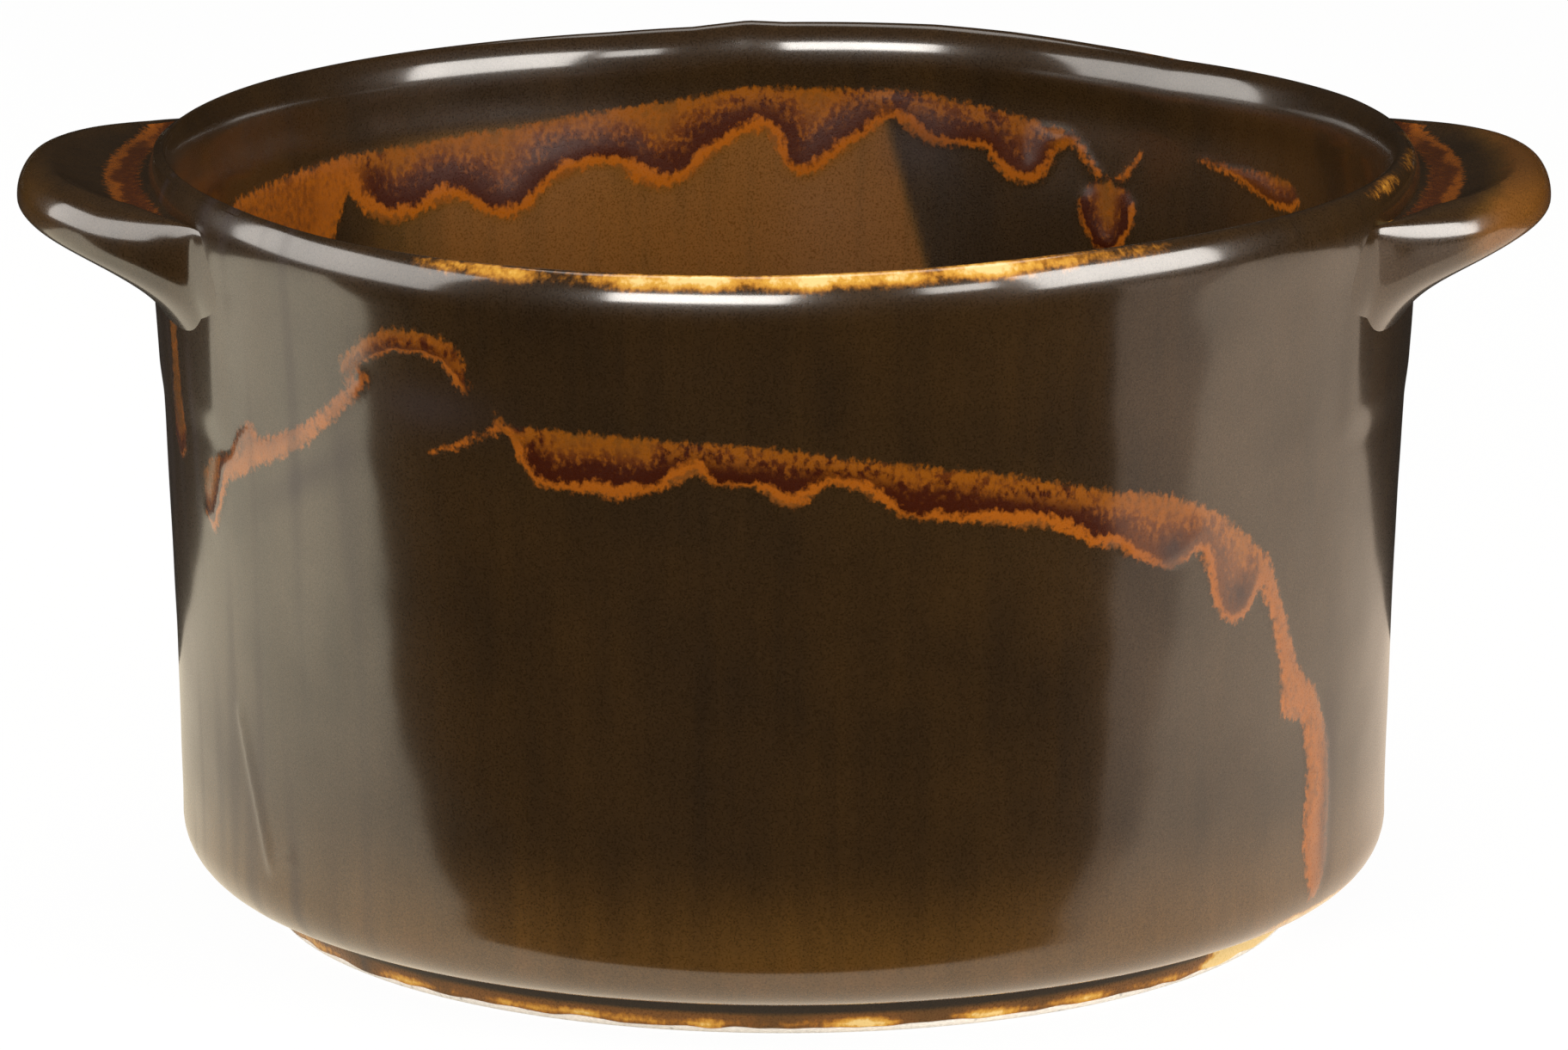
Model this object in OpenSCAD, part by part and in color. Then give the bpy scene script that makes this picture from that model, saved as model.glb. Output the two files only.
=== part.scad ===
// Small round stoneware ramekin with two lugs, a turned foot ring and a reactive glaze
// that was dipped twice, so that the second coat ran down in drips and pooled.
// Millimetres, +Z up. The foot stands on Z = 0, the bowl's axis is Z, the lugs lie along X
// and the front faces -Y.

/* [Cup] */
// Outside diameter at the rim, over the glaze
rim_d = 90; // [86:0.5:96]
// Height from the table to the crest of the rim
height = 55; // [50:0.5:60]
// Outside diameter at the foot of the wall, just above the rounded corner
wall_base_d = 86; // [82:0.5:89]
// How far the wall bows in from a straight line between corner and rim
wall_bow = 0.35; // [0.2:0.05:0.8]
// Radius of the rounded corner between wall and underside
corner_r = 4; // [3:0.25:5]
// Radius of the rolled lip at the rim
lip_r = 1.5; // [1.3:0.1:1.8]
// Radius of the soft roll on the lip's inner face
lip_face_r = 15; // [12:1:20]
// Depth of the lip's inner face, from the middle of the lip down to the neck
lip_face_h = 3; // [2:0.25:4]
// Wall thickness just above the floor
wall_base_t = 3.4; // [3:0.1:4.5]
// Thickness of the floor over the foot well
floor_t = 4; // [3:0.25:6]
// Radius between floor and wall inside
floor_corner_r = 7; // [5:0.5:10]

/* [Foot] */
// Outside diameter of the foot ring
foot_d = 74; // [66:0.5:76]
// Height of the foot ring below the body
foot_h = 2.8; // [2:0.1:4]
// Width of the foot ring
foot_w = 4; // [3:0.25:6]
// Depth of the well inside the foot ring
foot_well_h = 2.2; // [1.5:0.1:3]
// Rounding of the foot ring's two bare edges
foot_edge_r = 0.5; // [0.3:0.1:0.8]
// Bare clay left above the table when the foot is wiped clean
foot_bare_h = 0.6; // [0.4:0.1:1]

/* [Lugs] */
// How far each lug reaches out from the wall
lug_reach = 9.2; // [6:0.1:11]
// Radius of the lug's round outline, seen from above
lug_round_r = 21; // [17:0.5:24]
// Thickness of the lug's round edge
lug_edge_t = 4.4; // [3.6:0.1:5.2]
// Radius of the hollow under the lug, which deepens towards the wall
lug_under_r = 12.5; // [10:0.5:14]
// Slope of the lug's underside where it leaves the round edge
lug_under_slope = 10; // [4:1:16]
// Slope of the lug's dished top at its round edge, so that glaze pools by the rim
lug_top_slope = 12; // [8:1:16]
// How far the lug's edge lies below the crest of the rim
lug_drop = 1.6; // [1:0.1:3]

/* [Slip and glaze] */
// Thickness of the slip that lutes each lug to the wall
slip_t = 0.25; // [0.15:0.05:0.3]
// Thickness of the first glaze coat
glaze_t = 0.2; // [0.15:0.05:0.3]
// Thickness of the second coat, which runs
run_t = 0.15; // [0.1:0.05:0.25]
// Bond line between fired layers
bond = 0.06; // [0.03:0.01:0.08]
// Width of the bead that a drip swells to at its foot, as a share of the drip's width
drip_swell = 1.1; // [1.05:0.05:1.3]

/* [Hidden] */
$fn = 144;

// Drips of the second coat, seen from the front: the right-hand edge of each drip and how far
// it hangs below the crest of the rim. Each drip starts where the one before it ends.
OUTER_FRONT_DRIPS = [[-42, 18.5], [-38, 24.3], [-34, 18], [-27, 12.5], [-20, 8.5], [-17, 14],
                     [-11, 15.5], [-5, 16], [-1.5, 15], [2.5, 16.5], [7, 15.5], [14, 18], [20, 19.5],
                     [25, 21.5], [29, 23], [34, 28], [36, 33], [38.5, 46], [41, 30], [48, 22]];
OUTER_BACK_DRIPS = [[-40, 22], [-33, 26], [-24, 19.6], [-18, 23], [-10, 20], [-3, 24], [6, 18],
                    [12, 22], [20, 26], [27, 20], [34, 16], [40, 19.4], [48, 18.5]];
INNER_FRONT_DRIPS = [[-36, 12], [-27, 10], [-19, 13], [-9, 11], [1, 13.5], [9, 11], [18, 12.5],
                     [26, 10], [35, 12], [48, 10]];
INNER_BACK_DRIPS = [[-37, 9], [-31, 11.5], [-26, 11], [-18, 13], [-12, 9.5], [-6, 11.5], [-1, 8],
                    [4, 11], [9, 7], [14, 9], [19, 10.5], [22, 7], [26, 14.9], [37, 8], [48, 10]];

// Colours of clay, slip and glazes
CLAY_COLOUR = "#EDE6D8";
SLIP_COLOUR = "#CDBFA6";
FIRST_GLAZE_COLOUR = "#33291B";
RUN_GLAZE_COLOUR = "#8C4A17";
LUG_GLAZE_COLOUR = "#3F2A18";

// Drips wider than this have no bead: they are the quiet ends of a row
drip_widest = 12;

// Length by which a cutting shape runs past what it cuts
clear = 5;
// Length by which two arcs lap where one flows into the other
arc_lap = 0.02;
quarter = 90;

// Layers, as depths below the finished surface
first_depth = run_t;
clay_depth = run_t + glaze_t;

// Lip: its middle, in radius and height
lip_at = [rim_d / 2 - lip_r, height - lip_r];

// Wall: an arc that bows inwards, from the corner up to the lip's widest point, both of which it laps
wall_foot = [wall_base_d / 2, foot_h + corner_r];
wall_head = [rim_d / 2 - arc_lap, lip_at[1]];
wall_chord = norm(wall_head - wall_foot);
wall_arc_r = (pow(wall_chord / 2, 2) + pow(wall_bow, 2)) / (2 * wall_bow);
wall_half_turn = asin(wall_chord / 2 / wall_arc_r);
wall_lean = atan2(wall_head[0] - wall_foot[0], wall_head[1] - wall_foot[1]) - wall_half_turn;
wall_axis = wall_foot + wall_arc_r * [cos(wall_lean), -sin(wall_lean)];
wall_steps = 4;
corner_at = wall_foot - (corner_r - arc_lap) * [cos(wall_lean), -sin(wall_lean)];
under_z = corner_at[1] - corner_r + arc_lap;

// Radius of the finished outside at a height on the wall
function wall_r(z) = wall_axis[0] - sqrt(pow(wall_arc_r, 2) - pow(z - wall_axis[1], 2));

// Points up the wall at a depth below the finished surface
function wall_points(depth) =
    [for (i = [0:wall_steps])
     let (lean = wall_lean + 2 * wall_half_turn * i / wall_steps)
     wall_axis - (wall_arc_r + depth) * [cos(lean), -sin(lean)]];

// Inside: the lip's face down to the neck, then a cone that runs tangent into the floor corner
neck_z = lip_at[1] - lip_face_h;
lip_face_at = [lip_at[0] - lip_r + lip_face_r, lip_at[1]];
floor_z = foot_well_h + floor_t;
floor_corner_z = floor_z + floor_corner_r;
floor_corner_at = [wall_r(floor_corner_z) - wall_base_t - floor_corner_r, floor_corner_z];

// Neck, cone and floor corner at a depth below the finished inside
function neck(depth) = [lip_face_at[0] - sqrt(pow(lip_face_r - depth, 2) - pow(lip_face_h, 2)), neck_z];
function cone_lean(depth) =
    let (to_neck = neck(depth) - floor_corner_at)
    atan2(to_neck[0], to_neck[1]) - asin((floor_corner_r + depth) / norm(to_neck));
function cone_foot(depth) =
    floor_corner_at + (floor_corner_r + depth) * [cos(cone_lean(depth)), -sin(cone_lean(depth))];

// Foot ring
foot_r = foot_d / 2;
foot_inner_r = foot_r - foot_w;
// Height inside the rounded corner up to which the foot ring runs on, so that it joins the body
foot_head_z = (under_z + corner_at[1]) / 2;

// Lug: the middle of its round edge, about an upright axis inside the bowl
lug_nose_r = lug_edge_t / 2;
lug_nose_at = [lug_round_r - lug_nose_r, height - lug_drop - lug_nose_r];
lug_axis_x = wall_r(lug_nose_at[1]) + lug_reach - lug_round_r;

// Lug: the dish in its top and the hollow under it, both tangent to the round edge
lug_dish_r = lug_nose_at[0] / sin(lug_top_slope) - lug_nose_r;
lug_dish_at = [0, lug_nose_at[1] + lug_nose_at[0] / tan(lug_top_slope)];
lug_under_at = lug_nose_at + (lug_nose_r + lug_under_r) * [sin(lug_under_slope), -cos(lug_under_slope)];

// Outline of the cup as if filled, in radius and height, at a depth below the finished surface
module filled_outline(depth) {
    polygon(concat([corner_at], wall_points(depth), [lip_at, [0, lip_at[1]], [0, corner_at[1]]]));
    translate([0, lip_at[1]]) square([lip_at[0], lip_r - arc_lap - depth]);
    translate(lip_at) circle(lip_r - depth);
    translate([0, under_z + depth]) square([corner_at[0], corner_at[1] - under_z - depth]);
    translate(corner_at) circle(corner_r - depth);
    translate([0, foot_edge_r]) square([foot_r - depth, foot_head_z - foot_edge_r]);
    square([foot_r - depth - foot_edge_r, foot_edge_r]);
    translate([foot_r - depth - foot_edge_r, foot_edge_r]) circle(foot_edge_r);
}

// Outline of the hollow inside, at a depth below its finished surface
module hollow_outline(depth) {
    difference() {
        translate([0, lip_at[1]]) square([lip_at[0], lip_r + clear]);
        translate(lip_at) circle(lip_r - depth);
    }
    difference() {
        translate([0, neck_z]) square([lip_at[0], lip_face_h]);
        translate(lip_face_at) circle(lip_face_r - depth);
    }
    polygon([[0, floor_corner_z], floor_corner_at, cone_foot(depth), neck(depth), [0, neck_z]]);
    translate(floor_corner_at) circle(floor_corner_r + depth);
    translate([0, floor_z - depth]) square([floor_corner_at[0], floor_corner_r + depth]);
}

// Outline of the well inside the foot ring, at a depth below its finished surface
module well_outline(depth) {
    edge_at = foot_inner_r + depth + foot_edge_r;
    translate([0, -clear]) square([foot_inner_r + depth, clear + foot_well_h + depth]);
    difference() {
        translate([0, -clear]) square([edge_at, clear + foot_edge_r]);
        translate([edge_at, foot_edge_r]) circle(foot_edge_r);
    }
}

// A turned shape that starts and ends at the back, clear of the lugs
module turned() {
    rotate(quarter) rotate_extrude() children();
}

// The space around the upper half of the cup, outside a depth below the finished surface
module around_cup(depth) {
    turned() difference() {
        translate([rim_d / 4, height / 2]) square([rim_d / 2, height]);
        filled_outline(depth);
    }
}

// A coat on the outside between two depths, from the lip's crest to the wiped foot
module outside_coat(outer, inner) {
    turned() difference() {
        filled_outline(outer);
        filled_outline(inner - bond);
        translate([0, neck_z]) square([lip_at[0] + bond, lip_face_h + 2 * lip_r]);
        translate([0, -clear]) square([rim_d, clear + foot_bare_h]);
    }
}

// Outline of a coat on the inside between two depths, from the lip's crest down to the floor
module inside_coat_outline(outer, inner) {
    difference() {
        hollow_outline(inner - bond);
        hollow_outline(outer);
    }
}

// The second coat on the upper half of the inside, before its drips are cut
module inside_run() {
    turned() difference() {
        inside_coat_outline(0, first_depth);
        square([rim_d, height / 2]);
    }
}

// Outline above a dripping edge, seen from the front: a row of drips with a round bead on each
module drip_outline(drips) {
    for (i = [0:len(drips) - 1]) {
        start = i == 0 ? -rim_d : drips[i - 1][0];
        side = i == len(drips) - 1 ? rim_d : drips[i][0];
        bead_r = drip_swell * min(side - start, drip_widest) / 2;
        bead_z = height - drips[i][1] + bead_r;
        translate([start, bead_z]) square([side - start, height + clear - bead_z]);
        if (side - start < drip_widest) translate([(start + side) / 2, bead_z]) circle(bead_r);
    }
}

// Space above the dripping edge on the front half or on the back half of the bowl
module front_drips(drips) {
    rotate([quarter, 0, 0]) linear_extrude(rim_d) drip_outline(drips);
}

module back_drips(drips) {
    translate([0, rim_d, 0]) front_drips(drips);
}

// Profile of a lug about its own axis, at a depth below its finished surface
module lug_outline(depth) {
    difference() {
        polygon([[0, lug_under_at[1]], lug_under_at, lug_nose_at, lug_dish_at]);
        translate(lug_dish_at) circle(lug_dish_r + arc_lap + depth);
        translate(lug_under_at) circle(lug_under_r + arc_lap + depth);
    }
    translate(lug_nose_at) circle(lug_nose_r - depth);
}

// The right-hand lug, as if it ran on into the wall
module lug_form(depth) {
    translate([lug_axis_x, 0, 0]) rotate(2 * quarter) rotate_extrude() lug_outline(depth);
}

module on_left() {
    mirror([1, 0, 0]) children();
}

// Clay of one lug, cut to sit on its bed of slip
module lug() {
    color(CLAY_COLOUR) intersection() {
        lug_form(clay_depth);
        around_cup(clay_depth - slip_t - bond);
    }
}

// Bed of slip between one lug and the wall
module lug_slip() {
    color(SLIP_COLOUR) intersection() {
        lug_form(clay_depth);
        outside_coat(clay_depth - slip_t, clay_depth);
        translate([0, -rim_d / 2, 0]) cube([rim_d, rim_d, height]);
    }
}

// Glaze over one lug
module lug_glaze() {
    color(LUG_GLAZE_COLOUR) difference() {
        intersection() {
            lug_form(0);
            around_cup(clay_depth - bond);
        }
        lug_form(clay_depth - bond);
    }
}

// Room that both glazed lugs take up in the coats on the wall
module lug_room() {
    lug_form(-bond);
    on_left() lug_form(-bond);
}

module clay_cup() {
    color(CLAY_COLOUR) turned() difference() {
        filled_outline(clay_depth);
        hollow_outline(clay_depth);
        well_outline(glaze_t);
    }
}

module left_lug() {
    on_left() lug();
}

module right_lug() {
    lug();
}

module left_lug_slip() {
    on_left() lug_slip();
}

module right_lug_slip() {
    lug_slip();
}

module first_glaze_outside() {
    color(FIRST_GLAZE_COLOUR) difference() {
        outside_coat(first_depth, clay_depth);
        lug_room();
    }
}

module first_glaze_inside() {
    color(FIRST_GLAZE_COLOUR) turned() inside_coat_outline(first_depth, clay_depth);
}

module foot_well_glaze() {
    color(FIRST_GLAZE_COLOUR) turned() difference() {
        well_outline(glaze_t - bond);
        well_outline(0);
        translate([0, -clear]) square([rim_d, clear + foot_bare_h]);
    }
}

module left_lug_glaze() {
    on_left() lug_glaze();
}

module right_lug_glaze() {
    lug_glaze();
}

module run_glaze_outside() {
    color(RUN_GLAZE_COLOUR) difference() {
        intersection() {
            outside_coat(0, first_depth);
            union() {
                front_drips(OUTER_FRONT_DRIPS);
                back_drips(OUTER_BACK_DRIPS);
            }
        }
        lug_room();
    }
}

module run_glaze_inside() {
    color(RUN_GLAZE_COLOUR) {
        intersection() {
            inside_run();
            front_drips(INNER_FRONT_DRIPS);
        }
        intersection() {
            inside_run();
            back_drips(INNER_BACK_DRIPS);
        }
    }
}

clay_cup();
left_lug();
right_lug();
left_lug_slip();
right_lug_slip();
first_glaze_outside();
first_glaze_inside();
foot_well_glaze();
left_lug_glaze();
right_lug_glaze();
run_glaze_outside();
run_glaze_inside();
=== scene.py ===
import math

import bmesh
import bpy
import numpy as np
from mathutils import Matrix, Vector, noise


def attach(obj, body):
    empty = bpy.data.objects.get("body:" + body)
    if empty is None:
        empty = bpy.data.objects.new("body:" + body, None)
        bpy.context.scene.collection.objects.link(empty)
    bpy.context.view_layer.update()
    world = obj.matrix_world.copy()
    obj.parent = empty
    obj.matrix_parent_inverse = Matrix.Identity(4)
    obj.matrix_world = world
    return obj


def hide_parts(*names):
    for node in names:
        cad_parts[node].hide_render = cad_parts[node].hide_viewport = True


bl_info = {
    "name": "Glazed ramekin",
    "version": (1, 0, 0),
    "blender": (4, 5, 0),
    "location": "View3D > Sidebar > Ramekin",
    "description": "Dresses the ramekin's solids with run glaze and bare clay, and lights them",
    "category": "Object",
}

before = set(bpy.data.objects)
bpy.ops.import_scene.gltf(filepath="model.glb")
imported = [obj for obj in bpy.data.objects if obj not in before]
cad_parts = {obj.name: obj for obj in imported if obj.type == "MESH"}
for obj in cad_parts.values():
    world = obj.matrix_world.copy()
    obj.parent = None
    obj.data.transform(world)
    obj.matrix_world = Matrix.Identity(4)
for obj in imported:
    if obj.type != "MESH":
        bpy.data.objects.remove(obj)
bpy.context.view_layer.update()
MM = 0.001

# Sizes of the finished pot: radii, heights and lengths in mm, angles in degrees
CREST_R = 43.5
LIP_FOOT = 52
LIP_TALL = 3
LIP_OUT = 1.37
LIP_IN = 1.43
WALL_FOOT = 6.8
WALL_TALL = 46.7
WALL_FOOT_R = 43.0
WALL_FLARE = 1.98
WALL_HOLLOW = 1.4
WALL_ROUND_R = 4
WALL_ROUND_MIDDLE = (39.0, 6.9)
LIP_FACE_R = 15
LIP_FACE_MIDDLE = (57, 53.5)
LIP_FACE_END = 45
CONE_TOP = 50.2
CONE_TOP_R = 42.36
CONE_SLOPE = 0.0651
FLOOR = 6.2
FLOOR_ROUND_R = 7
FLOOR_ROUND_MIDDLE = (32.75, FLOOR + FLOOR_ROUND_R)
FLOOR_FLAT_R = 31.5
FOOT_ROUND_R = 0.5
FOOT_R = 36.75
WELL_R = 33.2
WELL_ROOF = 2.4
LUG_SPREAD = 31
LUG_TOP = 53.75
LUG_ROOT = 42.6
LUG_NOSE = 5.2
LUG_BITE = 0.6
# The glazed side of the foot, from the groove under the wall down its leaning face, as radius and height
FOOT_SIDE = [(38.6, 2.86), (38.1, 2.82), (37.65, 2.7), (37.42, 2.45), (37.33, 2.1), (37.24, 1.75),
             (37.15, 1.4), (37.07, 1.1), (36.98, 0.8), (36.9, 0.52)]
# Wall radii on which the angles of the runs and the scratch are measured off as lengths
OUTER_RUN_R = 44
INNER_RUN_R = 42
SCRATCH_R = 43
# Turns round a lug's section, from 0 to 1, at which its underside, its nose and its top end
UNDER_END = 0.4
NOSE_END = 0.62
TOP_END = 0.88

# Runs of the second coat on the outside: the lower edge from left to right and the upper edge back
# again, as angle round the bowl (degrees, 0 at the front, positive to the right) and height (mm).
# The points follow the runs, and the last run, at the back, is a guess.
# fringe is the width of the orange edge in mm, pool how dark the glaze pooled behind it, by angle.
# A run with a crown turns amber towards its upper edge.
OUTER_RUNS = [
    {
        "lower": [(-25.9, 44.2), (-24.4, 42.6), (-23.7, 41.2), (-22.1, 39.5), (-17.4, 39.2),
                  (-14.3, 38.9), (-10.5, 39.8), (-7.6, 41.0), (-6, 40.2), (-2.3, 40.1), (-1, 39.0),
                  (0.7, 38.6), (2.3, 39.1), (3.8, 40.4), (6.6, 39.7), (10.4, 37.7), (16.5, 37.1),
                  (24.6, 36.0), (28.1, 34.6), (31, 34.2), (33.5, 33.0), (36.4, 32.2), (38.6, 32.6),
                  (39.8, 33.1), (41.2, 31.0), (42.2, 28.8), (43.6, 27.6), (45.2, 27.3), (46.8, 27.9),
                  (48.2, 29.4), (50, 26.9), (51.7, 23), (52.1, 19.6), (55.7, 18.7), (56.9, 14.9),
                  (56.6, 9.4), (57.6, 6.7), (58.2, 5.2)],
        "upper": [(60.1, 5.6), (61.4, 7.9), (61.6, 12.2), (60.9, 16.7), (58.1, 20.8), (54.8, 22.9),
                  (53.2, 25.5), (51.4, 28.5), (49.3, 31.6), (45.7, 33.7), (42.2, 35.7), (36, 37.6),
                  (30.5, 38.3), (18, 40.7), (6.6, 42.1), (-0.8, 43.1), (-15.7, 43.8), (-24.4, 43.9),
                  (-25.9, 44.9)],
        "fringe": [(-26, 0.8), (28, 0.9), (34, 0.8), (47, 0.8), (50, 1.8), (55, 2.4), (62, 2.4)],
        "pool": [(-26, 1), (29, 1), (33, 0.75), (47, 0.7), (50, 0.3), (62, 0.35)],
        "crown": 1,
    },
    {
        "lower": [(-66.5, 31.7), (-64.3, 30.6), (-62.5, 32.5), (-60.7, 35.1), (-59.3, 35.3),
                  (-54.4, 37.1), (-50.2, 38.4), (-47.1, 39.9), (-43.5, 42.1), (-40.8, 43.9), (-38.9, 45.8)],
        "upper": [(-39.6, 46.7), (-41.6, 45.2), (-44.3, 43.3), (-47.5, 41.4), (-51.3, 40.1),
                  (-54.5, 39.2), (-56, 40.3), (-58.5, 39.2), (-60, 37.4), (-63.7, 36.4), (-66.4, 35.2)],
        "fringe": [(-66, 0.4), (-62.5, 0.5), (-60, 1.5), (-39, 1.5)],
        "pool": [(-67, 1), (-62, 1), (-60, 0.2), (-58, 0.8), (-56, 0.2), (-50, 0.3), (-44, 0.1),
                 (-39, 0.2)],
    },
    {
        "lower": [(-42.4, 45.3), (-39.5, 47.0), (-36.4, 48.2), (-33.2, 48.4), (-31, 47.9), (-29.9, 46.6),
                  (-29.2, 45.6)],
        "upper": [(-28.2, 46.2), (-28.6, 48.0), (-29.6, 49.5), (-32.1, 50.1), (-36.3, 50.0),
                  (-39.6, 48.9), (-42.6, 46.9)],
        "fringe": [(-43, 0.25), (-33, 0.3), (-28, 0.6)],
        "pool": [(-43, 0.9), (-33, 1), (-28, 0.8)],
        "crown": 0.6,
    },
    {
        "lower": [(-33.4, 40.8), (-29.6, 41.5), (-26.9, 42.8), (-25.0, 43.2)],
        "upper": [(-25.5, 44.0), (-27.3, 43.2), (-30, 42.1), (-32.7, 41.2)],
        "fringe": [(-33, 1.6), (-25, 1.6)],
        "pool": [(-33, 0.5), (-25, 0.2)],
    },
    {
        "lower": [(-76, 36), (-73.4, 34.4), (-71.4, 35.6)],
        "upper": [(-71.2, 41), (-71.4, 47), (-73.2, 47), (-74, 41)],
        "fringe": [(-76, 0.35), (-71, 0.35)],
        "pool": [(-76, 1), (-71, 0.8)],
    },
    {
        "lower": [(97, 41.5), (103, 36), (110, 32.6), (116, 34.2), (121, 37.4), (130, 37.8), (137, 34.8),
                  (143, 31.2), (149, 32.4), (154, 35.8), (162, 36.2), (170, 33.1), (177, 31), (183, 33.6),
                  (189, 36.6), (198, 36.3), (206, 32.5), (214, 29.2), (220, 30.6), (227, 35.4),
                  (238, 35.1), (246, 32.6), (254, 34.2), (262, 41.6)],
        "upper": [(262, 42.4), (246, 38), (232, 39), (214, 35), (196, 40), (177, 37.5), (160, 40),
                  (143, 37), (128, 41.6), (110, 38.5), (97, 42)],
        "fringe": [(97, 0.9), (262, 0.9)],
        "pool": [(97, 0.9), (262, 0.9)],
    },
]

# The same for the inside. Angles run on past 180 where a run crosses the back, and the last run, on
# the near half, is a guess.
INNER_RUNS = [
    {
        "lower": [(149.6, 47.4), (151.2, 46.6), (151.9, 45.2), (153.2, 44.1), (155, 43.7), (157.2, 44.2),
                  (158.4, 45.3), (159.2, 46.2), (162, 46.2), (165.1, 46.0), (169.2, 48.0), (173.5, 45.5),
                  (176.6, 43.8), (178.3, 43.3), (180, 44.2), (181.8, 46.8), (184.3, 46.5), (187.1, 45.3),
                  (189.6, 43.6), (192.4, 42.8), (195.4, 43.4), (197.4, 44.9), (199.6, 45.1), (202, 44.5),
                  (204.3, 44.0), (206.6, 42.2), (209.2, 41.4), (212, 42.1), (215.1, 43.5), (218, 43.2),
                  (220.5, 42.6), (224, 42.4), (226.8, 43.3), (229.6, 45.4), (232, 42.2), (237, 39.0),
                  (243, 37.8), (250, 40.6)],
        "upper": [(252, 47.0), (249.5, 47.6), (229.4, 48.4), (220.1, 48.3), (207.9, 48.7), (198.5, 49.4),
                  (189.6, 49.9), (183.5, 50.3), (167.9, 50.2), (158.9, 49.4), (149.4, 48.4)],
        "fringe": [(149, 0.8), (200, 1.0), (226, 1.1), (232, 3), (252, 3)],
        "pool": [(149, 0.95), (226, 1), (231, 0.25), (252, 0.2)],
        "crown": 1,
    },
    {
        "lower": [(149.4, 47.2), (147.6, 45.6), (146.2, 44.9)],
        "upper": [(145.4, 45.3), (147.2, 46.6), (149.2, 48.3)],
        "fringe": [(145, 1.5), (150, 1.5)],
        "pool": [(145, 0.5), (150, 0.8)],
    },
    {
        "lower": [(144.6, 45.2), (142.9, 46.4), (141.4, 47.7)],
        "upper": [(140.9, 48.0), (141.8, 46.4), (143.6, 44.9)],
        "fringe": [(140, 1.5), (145, 1.5)],
        "pool": [(140, 0.6), (145, 0.6)],
    },
    {
        "lower": [(148.7, 43.4), (148.3, 41.4), (146.6, 39.7), (145, 39.3), (143.4, 39.6), (141.9, 41.4),
                  (141.6, 43.4)],
        "upper": [(142.5, 44.6), (145, 45.2), (147.7, 44.5)],
        "fringe": [(141, 0.45), (149, 0.45)],
        "pool": [(141, 1), (149, 1)],
    },
    {
        "lower": [(134, 47.8), (128, 46.9), (124.5, 46.1), (121.3, 45.4), (118.5, 45.5), (117, 46.6)],
        "upper": [(119, 47.8), (124, 48.1), (129, 47.9), (134, 48.2)],
        "fringe": [(117, 0.5), (134, 0.5)],
        "pool": [(117, 1), (126, 0.8), (134, 0.2)],
    },
    {
        "lower": [(-108, 41.2), (-98, 43.2), (-85, 40.7), (-70, 42.7), (-55, 40.2), (-42, 43.0),
                  (-28, 40.7), (-15, 43.2), (-3, 40.4), (10, 42.7), (22, 41.2), (36, 43.5), (50, 41.4),
                  (65, 43.2), (80, 41.7), (95, 44.2), (108, 45.7)],
        "upper": [(108, 47.7), (80, 46.7), (50, 46.6), (22, 45.8), (-3, 45.7), (-28, 45.7), (-55, 45.4),
                  (-85, 45.6), (-108, 46.2)],
        "fringe": [(-108, 3), (-94, 1.2), (108, 1)],
        "pool": [(-108, 0.2), (-94, 0.8), (108, 0.9)],
    },
]

# Height of the rim's crest against the level rim of the solids (mm), and how far the lip's inner
# face lies outside theirs (mm), both by angle: a hand-finished rim is never quite level or even.
CREST_DIP = [(-180, -0.15), (-176.5, -0.02), (-171, -0.42), (-163, -0.55), (-146, -0.55), (-120, -0.45),
             (-85, -0.4), (-62, -0.5), (-46, -0.85), (-32, -0.95), (-18, -0.9), (0, -0.7), (12, -0.45),
             (26, -0.1), (45, -0.05), (90, -0.25), (111, -0.4), (127, -0.7), (138, -0.88), (148, -0.6),
             (157, -0.25), (165, -0.06), (173, -0.1), (180, -0.15)]
LIP_THIN = [(-180, 0.15), (-130, 0.5), (-90, 0.8), (-50, 0.5), (-10, 0.15), (40, 0.05), (90, 0.1),
            (140, 0.05), (180, 0.15)]
# How far the glaze broke to gold over the crest, by angle
CREST_BREAK = [(-40, 0), (-31, 0.6), (-20, 0.85), (-8, 1.1), (18, 1.05), (27, 0.8), (36, 0.35), (42, 0.1),
               (60, 0.1), (66, 0.55), (92, 0.55), (100, 0.1), (118, 0.35), (126, 0.8), (155, 0.8),
               (163, 0.2), (172, 0)]
# A scratch in the raw clay, low on the left, along which the glaze stands up, as angle and height
SCRATCH = [(-60.6, 18.6), (-55.8, 8.3), (-52.4, 9.6)]


def linear(code):
    """Linear RGBA of an sRGB hex colour."""
    parts = [int(code[i:i + 2], 16) / 255 for i in (1, 3, 5)]
    return [c / 12.92 if c <= 0.04045 else ((c + 0.055) / 1.055) ** 2.4 for c in parts] + [1.0]


def colour(name, description, code):
    """A colour property with an sRGB default."""
    return bpy.props.FloatVectorProperty(name=name, description=description, subtype="COLOR", size=4,
                                         min=0, max=1, default=linear(code))


class RamekinForm(bpy.types.PropertyGroup):
    """Sizes of the glazed skin"""
    turns: bpy.props.IntProperty(name="Turns", description="Steps round the bowl", default=560, min=90)
    skin: bpy.props.FloatProperty(name="Skin", description="Thickness of the glaze skin", default=0.33 * MM,
                                  unit="LENGTH")
    bead: bpy.props.FloatProperty(name="Bead", description="How far a run stands out at its lower edge",
                                  default=0.1 * MM, unit="LENGTH")
    wave: bpy.props.FloatProperty(name="Wave", description="Height of the slow waves in the wall",
                                  default=0.07 * MM, unit="LENGTH")
    lug_reach: bpy.props.FloatProperty(name="Lug reach", description="Reach of each lug from the wall",
                                       default=9.1 * MM, unit="LENGTH")


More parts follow.
